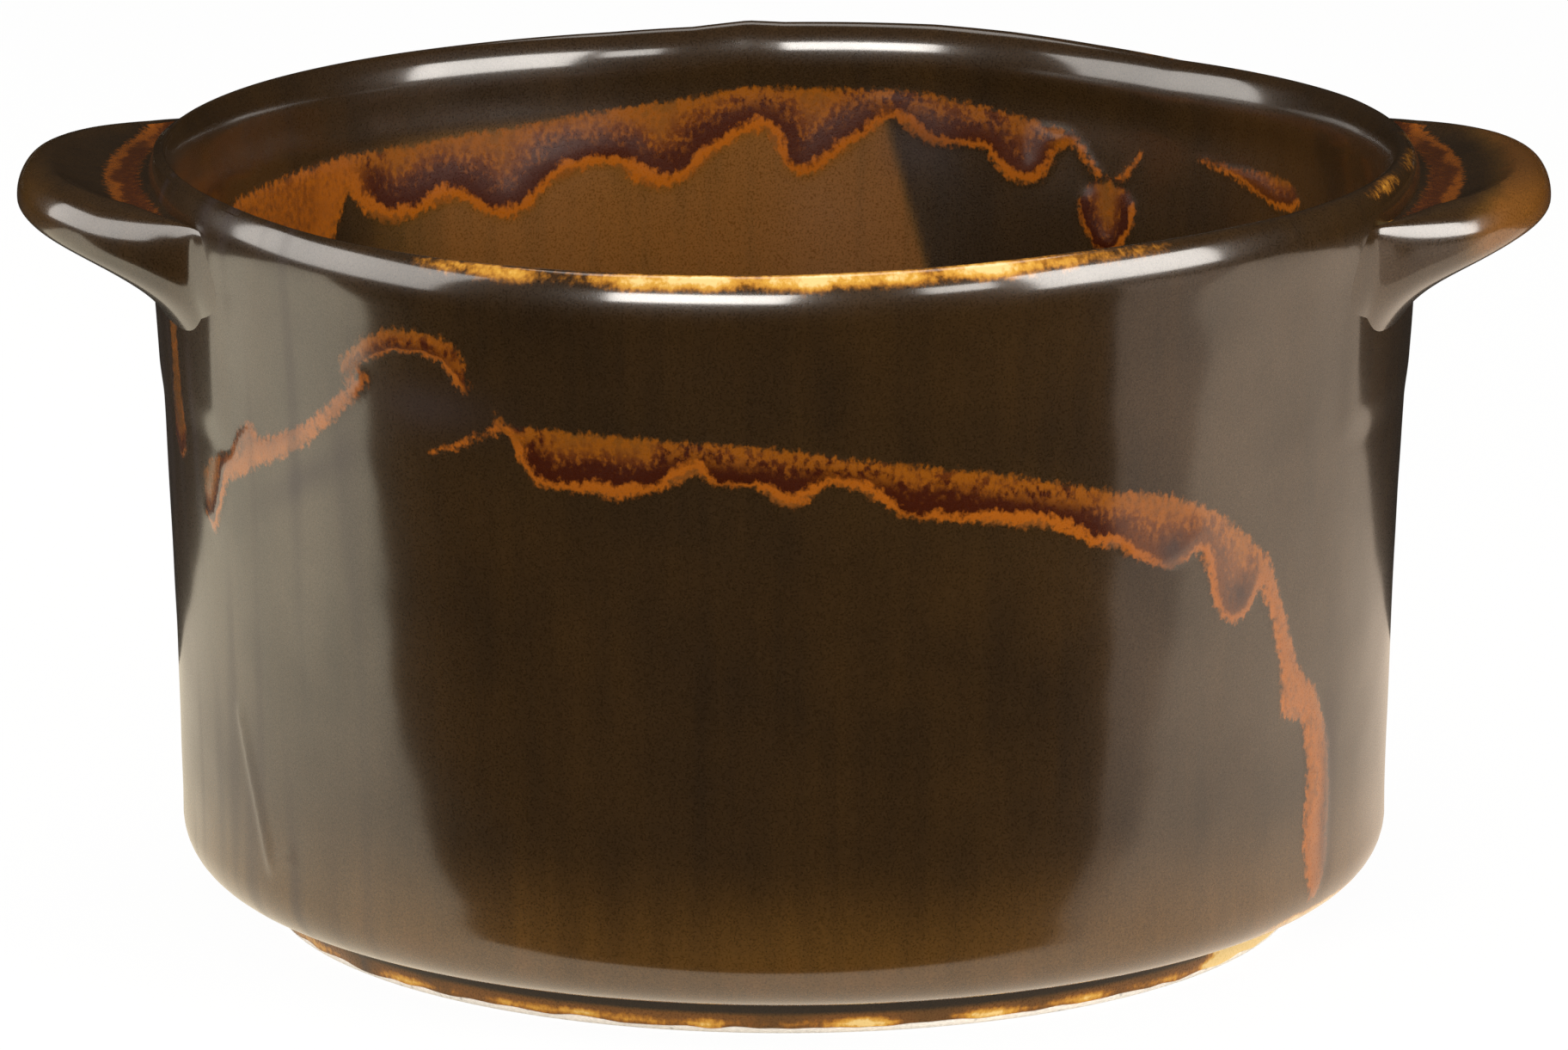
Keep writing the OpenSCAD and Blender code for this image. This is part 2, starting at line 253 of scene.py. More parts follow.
class RamekinColours(bpy.types.PropertyGroup):
    """Colours of clay and glaze"""
    clay: colour("Clay", "Bare fired clay at the foot", "#F4EFE6")
    slip: colour("Slip", "Fired slip under the lugs", "#CDBFA6")
    dark: colour("Dark glaze", "Thick first coat", "#24180A")
    brown: colour("Brown glaze", "Thin first coat", "#513611")
    bronze: colour("Bronze glaze", "First coat at its thinnest, inside and at the foot", "#704617")
    shade: colour("Grey shade", "Milky shade under a run", "#3A302E")
    orange: colour("Orange fringe", "Lower edge of a run", "#A0560D")
    rust: colour("Rust pool", "Glaze pooled behind the fringe", "#3A1202")
    amber: colour("Amber", "Flecks in a run", "#884B06")
    gold: colour("Gold", "Glaze broken thin over the crest", "#D9A441")


def spread(points, angles):
    """Values between points of angle and value, at an array of angles."""
    points = sorted(points)
    return np.interp(angles, [p[0] for p in points], [p[1] for p in points])


def smooth(low, high, x):
    """0 below low, 1 above high, and a soft step between."""
    t = np.clip((x - low) / (high - low), 0, 1)
    return t * t * (3 - 2 * t)


def window(x, start, full, fade, end):
    """0 outside start to end, 1 from full to fade, with soft steps between."""
    return smooth(start, full, x) * smooth(end, fade, x)


def hump(x, middle, width):
    """1 at the middle, falling away to both sides over a width."""
    return np.exp(-((x - middle) / width) ** 2)


def distance_to_line(line, s, z):
    """Distance in mm from points on the wall to an open line."""
    best = np.full(s.shape, 1e9)
    for (s0, z0), (s1, z1) in zip(line, line[1:]):
        run, rise = s1 - s0, z1 - z0
        t = np.clip(((s - s0) * run + (z - z0) * rise) / (run * run + rise * rise), 0, 1)
        best = np.minimum(best, np.hypot(s - s0 - t * run, z - z0 - t * rise))
    return best


def inside_outline(outline, s, z):
    """Whether points on the wall lie inside a closed outline."""
    result = np.zeros(s.shape, bool)
    for (s0, z0), (s1, z1) in zip(outline, outline[1:] + outline[:1]):
        if z0 == z1:
            continue
        crosses = (z0 > z) != (z1 > z)
        result ^= crosses & (s < s0 + (z - z0) * (s1 - s0) / (z1 - z0))
    return result


def run_fields(runs, angle, z, radius):
    """Fields of the runs: depth inside one (mm), fringe widths above its lower edge, pool and crown."""
    band = np.full(angle.shape, -6.0)
    edge, pool, crown = (np.zeros(angle.shape) for i in range(3))
    for run in runs:
        ring = run["lower"] + run["upper"]
        middle = (min(p[0] for p in ring) + max(p[0] for p in ring)) / 2
        near = (angle - middle + 180) % 360 - 180 + middle
        step = radius * math.pi / 180
        outline = [(a * step, h) for a, h in ring]
        s = near * step
        depth = distance_to_line(outline + outline[:1], s, z)
        depth = np.where(inside_outline(outline, s, z), depth, -depth)
        count = len(run["lower"])
        lower = distance_to_line(outline[:count], s, z)
        upper = distance_to_line(outline[count:], s, z)
        more = depth > band
        band = np.where(more, depth, band)
        edge = np.where(more, lower / spread(run["fringe"], near), edge)
        pool = np.where(more, spread(run["pool"], near), pool)
        crown = np.where(more, run.get("crown", 0) * smooth(2.2, 0.4, upper), crown)
    return band, edge, pool, crown


def arc(centre, radius, start, end, steps):
    """Points of an arc in radius and height (mm), angles in degrees from the outward radius."""
    turns = [math.radians(start + (end - start) * i / steps) for i in range(steps + 1)]
    return [(centre[0] + radius * math.cos(t), centre[1] + radius * math.sin(t)) for t in turns]


def wall_radius(z):
    """Radius of the finished outside at a height on the wall (mm)."""
    u = (z - WALL_FOOT) / WALL_TALL
    return WALL_FOOT_R + WALL_FLARE * u - WALL_HOLLOW * u * (1 - u)


def stretch(low, high, pace):
    """Heights from one to another at about an even pace."""
    return [float(v) for v in np.linspace(low, high, max(2, round(abs(high - low) / pace) + 1))]


def inner_radius(z):
    """Radius of the inside at a height (mm): the lip's rolled face runs softly into the cone below it."""
    middle, height = LIP_FACE_MIDDLE
    face = middle - math.sqrt(LIP_FACE_R ** 2 - (height - max(z, LIP_FACE_END)) ** 2)
    cone = CONE_TOP_R - CONE_SLOPE * (CONE_TOP - z)
    near = 42
    blend = 0.15
    return near - blend * math.log(math.exp((near - face) / blend) + math.exp((near - cone) / blend))


def lip_roll(reach, side, end):
    """Points of the rolled lip from its crest out or in, reach wide (mm), down to an angle (degrees)."""
    angles = [math.radians(90 - (90 - end) * i / 16) for i in range(17)]
    return [(CREST_R + side * reach * math.cos(a), LIP_FOOT + LIP_TALL * math.sin(a)) for a in angles]


def outside_profile():
    """Points from the crest of the lip over its soft shoulder down to the wiped foot (mm)."""
    points = lip_roll(LIP_OUT, side=1, end=4)
    heights = stretch(51.8, 27, pace=0.38) + stretch(26.4, 7.4, pace=0.5)
    points += [(wall_radius(z), z) for z in heights]
    points += arc(WALL_ROUND_MIDDLE, WALL_ROUND_R, start=2, end=-88, steps=12)
    return points + FOOT_SIDE


def inside_profile():
    """Points from the crest of the lip down the inside and across the floor to the axis (mm)."""
    points = lip_roll(LIP_IN, side=-1, end=2)
    heights = stretch(51.7, 34, pace=0.42) + stretch(32.8, 13.5, pace=1.2)
    points += [(inner_radius(z), z) for z in heights]
    points += arc(FLOOR_ROUND_MIDDLE, FLOOR_ROUND_R, start=-2, end=-88, steps=12)
    return points + [(r, FLOOR) for r in stretch(FLOOR_FLAT_R, 0, pace=2.4)]


def offset(points, depth, keep, fine=0):
    """Every keep-th point of a profile, and every second one of its last fine points, moved to its
    right-hand side by depth (mm), from the end back to the start."""
    moved = []
    last = len(points) - 1
    kept = {*range(0, len(points) - fine, keep), *range(len(points) - fine, len(points), 2), last}
    for i in sorted(kept, reverse=True):
        before, after = points[max(i - 1, 0)], points[min(i + 1, last)]
        run, rise = after[0] - before[0], after[1] - before[1]
        size = math.hypot(run, rise)
        moved.append((max(points[i][0] + depth * rise / size, 0), points[i][1] - depth * run / size))
    return moved


def spun(points, closed, turns, start=math.pi / 2, sweep=math.tau, sharp=()):
    """A mesh spun from a profile round Z, from the back unless said, and the row of each vertex."""
    mesh = bmesh.new()
    layer = mesh.verts.layers.int.new("row")
    ring = []
    for i, (r, z) in enumerate(points):
        vert = mesh.verts.new((r * MM * math.cos(start), r * MM * math.sin(start), z * MM))
        vert[layer] = i
        ring.append(vert)
    edges = [mesh.edges.new(pair) for pair in zip(ring, ring[1:] + ring[:1])][:len(ring) if closed else -1]
    bmesh.ops.spin(mesh, geom=ring + edges, cent=(0, 0, 0), axis=(0, 0, 1), dvec=(0, 0, 0), angle=sweep,
                   steps=turns, use_merge=sweep == math.tau)
    bmesh.ops.remove_doubles(mesh, verts=mesh.verts, dist=1e-7)
    bmesh.ops.dissolve_degenerate(mesh, dist=1e-8, edges=mesh.edges)
    for edge in mesh.edges:
        if edge.verts[0][layer] == edge.verts[1][layer] and edge.verts[0][layer] in sharp:
            edge.smooth = False
    rows = np.array([v[layer] for v in mesh.verts])
    mesh.verts.layers.int.remove(layer)
    return mesh, rows


def turned_skin(points, depth, turns, keep, fine):
    """A closed skin spun from a profile, the length along the profile and a 1 for the face that shows."""
    back = offset(points, depth, keep, fine)
    last = len(points) - 1
    ends = {0, last, last + 1, last + len(back)}
    mesh, rows = spun(points + back, closed=True, turns=turns, sharp=ends)
    steps = [0.0] + [math.dist(a, b) for a, b in zip(points, points[1:])]
    front = (rows <= last).astype(float)
    return mesh, np.cumsum(steps)[np.minimum(rows, last)], front


def places(mesh):
    """Places (mm) of a mesh's vertices, their angles round the bowl, radii and heights."""
    spots = np.array([v.co for v in mesh.verts]) / MM
    x, y, z = spots.T
    return spots, np.degrees(np.arctan2(x, -y)), np.hypot(x, y), z


def shifted(spots, radius, out, rise):
    """Places moved outwards from the axis and up (mm)."""
    scale = (radius + out) / np.maximum(radius, 1e-6)
    return np.stack([spots[:, 0] * scale, spots[:, 1] * scale, spots[:, 2] + rise], axis=1)


def slow_wave(spots, size, seed):
    """Soft noise from -1 to 1 over places (mm), with waves of about one size (mm)."""
    return np.array([noise.noise(Vector(p) / size + Vector((seed, 0, 0))) for p in spots])


def crest_dip(angle, z):
    """How far the rim rises at an angle (mm), less and less down the wall."""
    return spread(CREST_DIP, angle) * smooth(34, 52, z)


def lip_thinning(angle, z, crest):
    """How far the lip's inner face lies outside that of the solids (mm), from the crest on down."""
    return spread(LIP_THIN, angle) * smooth(49, 52.5, z) * smooth(0.6, -1.2, crest)


def crest_gold(angle, crest):
    """How thin the glaze broke over the crest, at an angle and a length out from the crest (mm)."""
    return spread(CREST_BREAK, angle) * hump(crest, 0.7, 0.95)


def run_lift(band, edge):
    """How far a run stands out, from 0 to 1: most behind its lower edge, thinning out upwards."""
    return smooth(-0.1, 0.7, band) * np.exp(-np.maximum(edge - 1.2, 0) ** 2 / 3)


def store(mesh, spots, **fields):
    """Moves the vertices to places (mm) and keeps the glaze's fields on them for its material."""
    layers = {name: mesh.verts.layers.float.new(name) for name in fields}
    for i, vert in enumerate(mesh.verts):
        vert.co = spots[i] * MM
        for name, layer in layers.items():
            vert[layer] = fields[name][i]


def finish_piece(mesh, name, material, *nodes):
    """Makes a smooth object of a mesh, which rides on the bowl and stands for CAD nodes."""
    bmesh.ops.recalc_face_normals(mesh, faces=mesh.faces)
    for face in mesh.faces:
        face.smooth = True
    data = bpy.data.meshes.new(name)
    mesh.to_mesh(data)
    mesh.free()
    piece = bpy.data.objects.new(name, data)
    bpy.context.scene.collection.objects.link(piece)
    data.materials.append(material)
    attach(piece, "root")
    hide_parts(*nodes)
    return piece


def add(tree, kind, links=None, stops=None, **settings):
    """Adds a node with its settings, its input values or links, and the stops of a ramp."""
    node = tree.nodes.new(kind)
    for key, value in settings.items():
        setattr(node, key, value)
    for key, value in (links or {}).items():
        if isinstance(value, bpy.types.NodeSocket):
            tree.links.new(value, node.inputs[key])
        else:
            node.inputs[key].default_value = value
    for i, (place, shade) in enumerate(stops or []):
        element = node.color_ramp.elements[i] if i < 2 else node.color_ramp.elements.new(place)
        element.position = place
        element.color = shade
    return node


def remap(tree, value, low, high, to_low=0.0, to_high=1.0, **settings):
    """A value that runs from to_low to to_high while another runs from low to high."""
    links = {"Value": value, "From Min": low, "From Max": high, "To Min": to_low, "To Max": to_high}
    return add(tree, "ShaderNodeMapRange", links, **settings).outputs[0]


def times(tree, a, b, plus=0.0):
    """The product of two values, with a third added."""
    return add(tree, "ShaderNodeMath", {0: a, 1: b, 2: plus}, operation="MULTIPLY_ADD").outputs[0]


def mixed(tree, share, first, second, **settings):
    """A colour between two, at a share of the second."""
    links = {0: share, 6: first, 7: second}
    return add(tree, "ShaderNodeMix", links, data_type="RGBA", **settings).outputs[2]


def flecks_of(tree, place, size, detail):
    """Noise whose flecks have a size in mm."""
    links = {"Vector": place, "Scale": 1 / (size * MM), "Detail": detail}
    return add(tree, "ShaderNodeTexNoise", links).outputs[0]


def new_material(name):
    """An empty node material with its shader and output."""
    material = bpy.data.materials.get(name) or bpy.data.materials.new(name)
    material.use_nodes = True
    tree = material.node_tree
    tree.nodes.clear()
    shader = add(tree, "ShaderNodeBsdfPrincipled")
    add(tree, "ShaderNodeOutputMaterial", {"Surface": shader.outputs[0]})
    return material, tree, shader


def run_glaze_material():
    """Reactive stoneware glaze, dipped twice and fired glossy: a dark iron glass full of fine crystals,
    which breaks to gold where it is thin, and a second coat that ran, pooled rust red and crystallised
    orange at its edge."""
    material, tree, shader = new_material("reactive_run_glaze")
    colours = bpy.context.scene.ramekin_colours
    place = add(tree, "ShaderNodeTexCoord").outputs["Object"]
    fields = {name: add(tree, "ShaderNodeAttribute", attribute_name=name).outputs["Fac"]
              for name in ("band", "edge", "pool", "crown", "warm", "gold", "shade", "dull")}

    # Crystal grain of 0.14 mm, clouds of 9 mm
    grain = flecks_of(tree, place, 0.14, 2.0)
    cloud = flecks_of(tree, place, 9, 4.0)
    # Feathers 0.42 mm wide and 0.55 mm tall, and streaks 1.6 mm wide and 20 mm tall
    tall = (1 / (0.42 * MM), 1 / (0.42 * MM), 1 / (0.55 * MM))
    tall_place = add(tree, "ShaderNodeMapping", {"Vector": place, "Scale": tall}).outputs[0]
    feather = add(tree, "ShaderNodeTexNoise", {"Vector": tall_place, "Scale": 1.0, "Detail": 4.0,
                                               "Roughness": 0.6}).outputs[0]
    long = (1 / (1.6 * MM), 1 / (1.6 * MM), 1 / (20 * MM))
    long_place = add(tree, "ShaderNodeMapping", {"Vector": place, "Scale": long}).outputs[0]
    streak = add(tree, "ShaderNodeTexNoise", {"Vector": long_place, "Scale": 1.0, "Detail": 3.0}).outputs[0]

    # The run's outline and its layers, feathered by crystals: orange edge, dark pool, amber flecks above
    ragged = times(tree, feather, 1.5, fields["band"])
    inside = remap(tree, ragged, 0.62, 1.1, interpolation_type="SMOOTHSTEP")
    swell = flecks_of(tree, place, 3.5, 1.0)
    layers = times(tree, feather, 1.9, fields["edge"])
    wander = times(tree, swell, 2.4, layers)
    layer = remap(tree, wander, 2.15, 8.15)
    pooled = add(tree, "ShaderNodeValToRGB", {"Fac": layer}, [
        (0.0, linear("#7E4816")), (0.05, colours.orange), (0.12, colours.orange), (0.19, colours.rust),
        (0.4, colours.rust), (0.55, linear("#5A2A08")), (0.75, linear("#7A450E")),
        (1.0, linear("#6B420F"))])
    flecks = remap(tree, feather, 0.5, 0.64)
    upper = remap(tree, layer, 0.3, 0.6)
    flecked = times(tree, flecks, upper)
    deep = mixed(tree, flecked, pooled.outputs[0], colours.amber)
    blot = flecks_of(tree, place, 1.1, 2.0)
    mottle = times(tree, blot, 0.8, feather)
    speckle = remap(tree, mottle, 0.78, 0.98)
    crowned = times(tree, fields["crown"], speckle)
    deep = mixed(tree, crowned, deep, colours.amber)
    plain = add(tree, "ShaderNodeValToRGB", {"Fac": feather}, [
        (0.3, linear("#6E3A12")), (0.62, colours.orange)])
    run = mixed(tree, fields["pool"], plain.outputs[0], deep)

    # The first coat: thick and dark or thin and brown, clouded, and streaked where it ran thin
    thin_run = times(tree, streak, fields["warm"])
    drift = times(tree, cloud, 0.35, thin_run)
    thin = times(tree, fields["warm"], 0.7, drift)
    thinness = remap(tree, thin, 0.3, 1.9)
    first = add(tree, "ShaderNodeValToRGB", {"Fac": thinness}, [
        (0.0, colours.dark), (0.5, colours.brown), (1.0, colours.bronze)]).outputs[0]
    salt = remap(tree, grain, 0.3, 0.7, 0.72, 1.28)
    grained = mixed(tree, 1.0, first, salt, blend_type="MULTIPLY")
    coats = mixed(tree, inside, grained, run)
    milky = mixed(tree, fields["shade"], coats, colours.shade)

    # The break over the crest, in patches of 4 mm from amber to pale gold
    patch = flecks_of(tree, place, 4, 2.0)
    patches = remap(tree, patch, 0.35, 0.62, 0.6, 1.2)
    patched = times(tree, patches, fields["gold"])
    broken = times(tree, feather, 0.9, patched)
    breaks = remap(tree, broken, 0.75, 1.3, interpolation_type="SMOOTHSTEP")
    bright = remap(tree, broken, 0.8, 1.6)
    gilt = add(tree, "ShaderNodeValToRGB", {"Fac": bright}, [
        (0.0, linear("#7A4410")), (0.4, linear("#B97A24")), (0.75, colours.gold), (1.0, linear("#EFD08A"))])
    worn = mixed(tree, breaks, milky, gilt.outputs[0])
    tree.links.new(worn, shader.inputs["Base Color"])

    # Fine crystals make the glass satin under its clear surface
    satin = remap(tree, grain, 0.3, 0.7, 0.24, 0.36)
    tree.links.new(satin, shader.inputs["Roughness"])
    bump = add(tree, "ShaderNodeBump", {"Height": grain, "Strength": 0.5, "Distance": 0.02 * MM})
    tree.links.new(bump.outputs[0], shader.inputs["Normal"])
    # The milky shade, thin glaze at the foot, clouds and grain dull the mirror
    clear = remap(tree, fields["shade"], 0, 1, 1.0, 0.5)
    fine = remap(tree, grain, 0.3, 0.7, 0.82, 1.0)
    worn_off = remap(tree, fields["dull"], 0, 1, 1.0, 0.08)
    hazy = remap(tree, cloud, 0.35, 0.65, 0.84, 1.0)
    mirror = times(tree, clear, fine)
    mirror = times(tree, mirror, worn_off)
    mirror = times(tree, mirror, hazy)
    tree.links.new(mirror, shader.inputs["Coat Weight"])
    # Iron and manganese oxides make a heavy glass, which mirrors more than a plain one
    shader.inputs["IOR"].default_value = 1.6
    shader.inputs["Specular IOR Level"].default_value = 0.2
    shader.inputs["Coat Roughness"].default_value = 0.12
    shader.inputs["Coat IOR"].default_value = 1.85
    return material


def clay_material(name, shade, roughness):
    """Fired stoneware body: matt and pale, with grog specks of 0.4 mm and a sandy tooth."""
    material, tree, shader = new_material(name)
    place = add(tree, "ShaderNodeTexCoord").outputs["Object"]
    sand = flecks_of(tree, place, 0.25, 4.0)
    grog = add(tree, "ShaderNodeTexVoronoi", {"Vector": place, "Scale": 1 / (0.9 * MM)}).outputs["Distance"]
    speck = remap(tree, grog, 0.05, 0.22, 0.6, 1.0)
    tone = remap(tree, sand, 0.3, 0.7, 0.88, 1.06)
    both = times(tree, speck, tone)
    body = mixed(tree, 1.0, shade, both, blend_type="MULTIPLY")
    tree.links.new(body, shader.inputs["Base Color"])
    bump = add(tree, "ShaderNodeBump", {"Height": sand, "Strength": 0.5, "Distance": 0.03 * MM})
    tree.links.new(bump.outputs[0], shader.inputs["Normal"])
    shader.inputs["Roughness"].default_value = roughness
    return material


def well_glaze_material():
    """The first coat alone inside the foot: dark brown glass, clouds of 8 mm and grain of 0.2 mm."""
    material, tree, shader = new_material("foot_well_first_coat")
    colours = bpy.context.scene.ramekin_colours
    place = add(tree, "ShaderNodeTexCoord").outputs["Object"]
    cloud = flecks_of(tree, place, 8, 5.0)
    grain = flecks_of(tree, place, 0.2, 2.0)
    clouded = remap(tree, cloud, 0.35, 0.7)
    first = mixed(tree, clouded, colours.dark, colours.brown)
    tree.links.new(first, shader.inputs["Base Color"])
    bump = add(tree, "ShaderNodeBump", {"Height": grain, "Strength": 0.35, "Distance": 0.02 * MM})
    tree.links.new(bump.outputs[0], shader.inputs["Normal"])
    shader.inputs["Roughness"].default_value = 0.35
    shader.inputs["Coat Weight"].default_value = 1.0
    shader.inputs["Coat Roughness"].default_value = 0.06
    return material


class RAMEKIN_OT_glaze_outside(bpy.types.Operator):
    """Spin the glaze over lip, wall and foot, with its runs raised on it"""
    bl_idname = "ramekin.glaze_outside"
    bl_label = "Glaze outside"

    def execute(self, context):
        form = context.scene.ramekin_form
        mesh, climb, front = turned_skin(outside_profile(), form.skin / MM, form.turns, keep=16, fine=23)
        spots, angle, radius, z = places(mesh)
        band, edge, pool, crown = run_fields(OUTER_RUNS, angle, z, OUTER_RUN_R)
        outer = smooth(0, 1, climb)
        facing = smooth(84, 70, np.abs(angle))

        # Runs stand out as a bead behind their lower edge and thin out upwards
        lift = run_lift(band, edge) * (0.3 + 0.7 * facing)
        wave = slow_wave(spots, size=12, seed=3.1) + 0.4 * slow_wave(spots, size=4.5, seed=8.2)
        body = smooth(2.5, 9, z) * (1 - 0.6 * smooth(49, 53, z)) * outer
        clear = 1 - smooth(31, 27, np.abs(np.abs(angle) - 90)) * smooth(37, 40, z)
        out = front * body * ((lift * form.bead + wave * form.wave) / MM - 0.15 * clear)
        step = math.radians(SCRATCH_R)
        scratch = distance_to_line([(a * step, h) for a, h in SCRATCH], angle * step, z)
        out += front * 0.18 * hump(scratch, 0, 0.42)
        out += lip_thinning(angle, z, climb)
        ragged = front * (1 - smooth(0.6, 1.3, z)) * slow_wave(spots, size=2.2, seed=5.5) * 0.2
        moved = shifted(spots, radius, out, crest_dip(angle, z) + ragged)

        # Thin and warm low on the wall, at the foot and where the glaze ran off the crest
        blotch = slow_wave(spots, size=5, seed=2.6)
        # From the groove under the wall down to about 1.6 mm on the foot the glaze stays dark: painted
        # shade of the groove
        warm = (0.22 + 0.55 * smooth(15, 4.5, z)) * smooth(2.7, 3.2, z)
        warm += (1.5 + 0.9 * blotch) * smooth(1.75, 1.45, z)
        warm += 0.3 * smooth(52, 54, z) * window(angle, 100, 130, 150, 160)

        # Gold where it broke: on the crest, round the wall's foot, most on the right, and low on the foot
        lower_right = window(angle, 48, 56, 70, 82)
        foot_break = hump(z, 3.3 + 0.6 * lower_right, 0.35 + 0.3 * lower_right) * smooth(40, 41, radius)
        gold = crest_gold(angle, climb) + foot_break * (0.35 + 1.2 * lower_right)
        gold += hump(z, 0.8, 0.5) * smooth(2.0, 1.4, z) * (0.85 + 0.8 * blotch)
        gold += 1.3 * smooth(2.6, 2.2, z) * window(angle, 50, 54, 66, 72)

        # Milky shades beside the runs, and streaks of them on the left
        shade = 0.5 * hump(angle, -33, 6) * hump(z, 44.5, 1.8)
        shade += 0.7 * hump(angle, -48, 7) * hump(z, 37.2 + (angle + 48) * 0.42, 1.3)
        for turn, height in ((36.8, 33.6), (45.2, 29.4)):
            shade += 0.85 * hump(angle, turn, 1.7) * hump(z, height, 1.1)
        shade += 0.6 * window(angle, 59.2, 60.4, 61.5, 64) * window(z, 4, 8, 17, 22)
        drawn_out = np.stack([angle / 2.6, z / 24, 0 * z], axis=1)
        streaks = slow_wave(drawn_out, size=1, seed=4.4)
        shade += 0.55 * smooth(0.05, 0.5, streaks) * smooth(-38, -46, angle)
        dull = smooth(2.9, 2.6, z) + 0.12 * smooth(24, 10, z)
        store(mesh, moved, band=band, edge=edge, pool=pool, crown=crown, warm=warm, gold=gold,
              shade=shade, dull=dull)
        finish_piece(mesh, "glaze_outside", run_glaze_material(), "first_glaze_outside",
                     "run_glaze_outside")
        return {"FINISHED"}


class RAMEKIN_OT_glaze_inside(bpy.types.Operator):
    """Spin the glaze down the inside and across the floor, with its runs raised on it"""
    bl_idname = "ramekin.glaze_inside"
    bl_label = "Glaze inside"

    def execute(self, context):
        form = context.scene.ramekin_form
        mesh, climb, front = turned_skin(inside_profile(), -form.skin / MM, form.turns, keep=8, fine=27)
        spots, angle, radius, z = places(mesh)
        band, edge, pool, crown = run_fields(INNER_RUNS, angle, z, INNER_RUN_R)
        lift = run_lift(band, edge)
        wave = slow_wave(spots, size=12, seed=1.7) + 0.4 * slow_wave(spots, size=4.5, seed=6.4)
        inward = front * window(z, 8, 14, 50.5, 52.2) * (lift * form.bead + wave * form.wave) / MM
        moved = shifted(spots, radius, lip_thinning(angle, z, -climb) - inward, crest_dip(angle, z))

        # Bronze on the back wall as far as a slanting edge, where the bowl was dipped again, and less below
        turn = angle % 360
        dipped = 168.5 - 0.4 * (45 - z)
        bronze = smooth(-0.8, 0.8, turn - dipped) * smooth(232, 212, turn)
        warm = 0.2 + 1.2 * bronze * smooth(49.5, 47.5, z) * smooth(9, 30, z)
        shade = 0.5 * hump(angle, 166, 4) * hump(z, 46, 2.5)
        gold = crest_gold(angle, -climb)
        store(mesh, moved, band=band, edge=edge, pool=pool, crown=crown, warm=warm, gold=gold,
              shade=shade, dull=0 * z)
        finish_piece(mesh, "glaze_inside", run_glaze_material(), "first_glaze_inside", "run_glaze_inside")
        return {"FINISHED"}


def curve(corners, t):
    """A point, in reach and height, of the cubic curve with four corners."""
    s = 1 - t
    weights = (s ** 3, 3 * s * s * t, 3 * s * t * t, t ** 3)
    return tuple(sum(w * corner[i] for w, corner in zip(weights, corners)) for i in (0, 1))


def lug_reach(angle, reach_mm):
    """How far a lug stands out at an angle from its middle (mm): a blunt disc that ends softly."""
    turn = math.degrees(angle)
    disc = (reach_mm - 0.8) * max(1 - (turn / 26) ** 3, 0) ** 1.5
    rest = min((LUG_SPREAD - turn) / 9, 1)
    return disc + 0.8 * rest * rest * (3 - 2 * rest) - 0.25 * (turn / LUG_SPREAD) ** 8


def lug_section(angle, reach_mm, t, depth):
    """Reach from the wall and height (mm) on the closed section of a lug, at an angle from its middle and
    a depth below its finished surface."""
    tip = lug_reach(abs(angle), reach_mm) - depth
    reach = tip + LUG_BITE
    share = math.degrees(abs(angle)) / LUG_SPREAD
    half = (LUG_NOSE + 2.9 * share ** 2.5) / 2
    top = LUG_TOP - 1.9 * share ** 2
    nose_z = top - half
    root = LUG_ROOT - 3 * share ** 2
    nose = min(half, reach / 2)
    flat = reach - nose
    dip = top - 1.2 * min(reach / 6, 1)
    meet = 52.9 - 0.2 * share
    low_end = (-LUG_BITE, root + depth)
    point = (tip, nose_z)
    shoulder = (tip - nose, top - depth)
    high_end = (-LUG_BITE, meet - depth)
    if t < UNDER_END:
        steep = (-LUG_BITE, root + 0.65 * (nose_z - root) + depth)
        full = (tip, nose_z - 0.75 * half + depth)
        return curve((low_end, steep, full, point), t / UNDER_END)
    if t < NOSE_END:
        blunt = (tip, nose_z + 0.6 * half)
        over = (tip - 0.4 * nose, top - depth)
        return curve((point, blunt, over, shoulder), (t - UNDER_END) / (NOSE_END - UNDER_END))
    if t < TOP_END:
        dished = (tip - nose - 0.35 * flat, dip - depth)
        saddle = (0.25 * flat - LUG_BITE, dip - depth)
        return curve((shoulder, dished, saddle, high_end), (t - NOSE_END) / (TOP_END - NOSE_END))
    fall = (t - TOP_END) / (1 - TOP_END)
    return -LUG_BITE, high_end[1] * (1 - fall) + low_end[1] * fall


def lug_grid(side, reach_mm, depth, wide, around):
    """A grid rolled up into a lug, its places and reach (mm), angles from its middle and turns round it."""
    mesh = bmesh.new()
    bmesh.ops.create_grid(mesh, x_segments=wide, y_segments=around, size=1)
    angle = np.radians(LUG_SPREAD) * np.array([v.co.x for v in mesh.verts])
    turn = np.array([v.co.y for v in mesh.verts]) / 2 + 0.5
    section = np.array([lug_section(a, reach_mm, t if t < 1 else 0.0, depth) for a, t in zip(angle, turn)])
    reach, z = section[:, 0], section[:, 1]
    radius = wall_radius(z) + reach
    spots = np.stack([side * radius * np.cos(angle), radius * np.sin(angle), z], axis=1)
    spots[:, 2] += 0.06 * slow_wave(spots, size=5, seed=2.2 + side) * smooth(0, 2, reach)
    return mesh, spots, angle, turn, reach


def close_lug(mesh):
    """Welds a rolled-up lug along its seam and closes its two ends."""
    bmesh.ops.remove_doubles(mesh, verts=mesh.verts, dist=2e-6)
    bmesh.ops.holes_fill(mesh, edges=mesh.edges, sides=0)


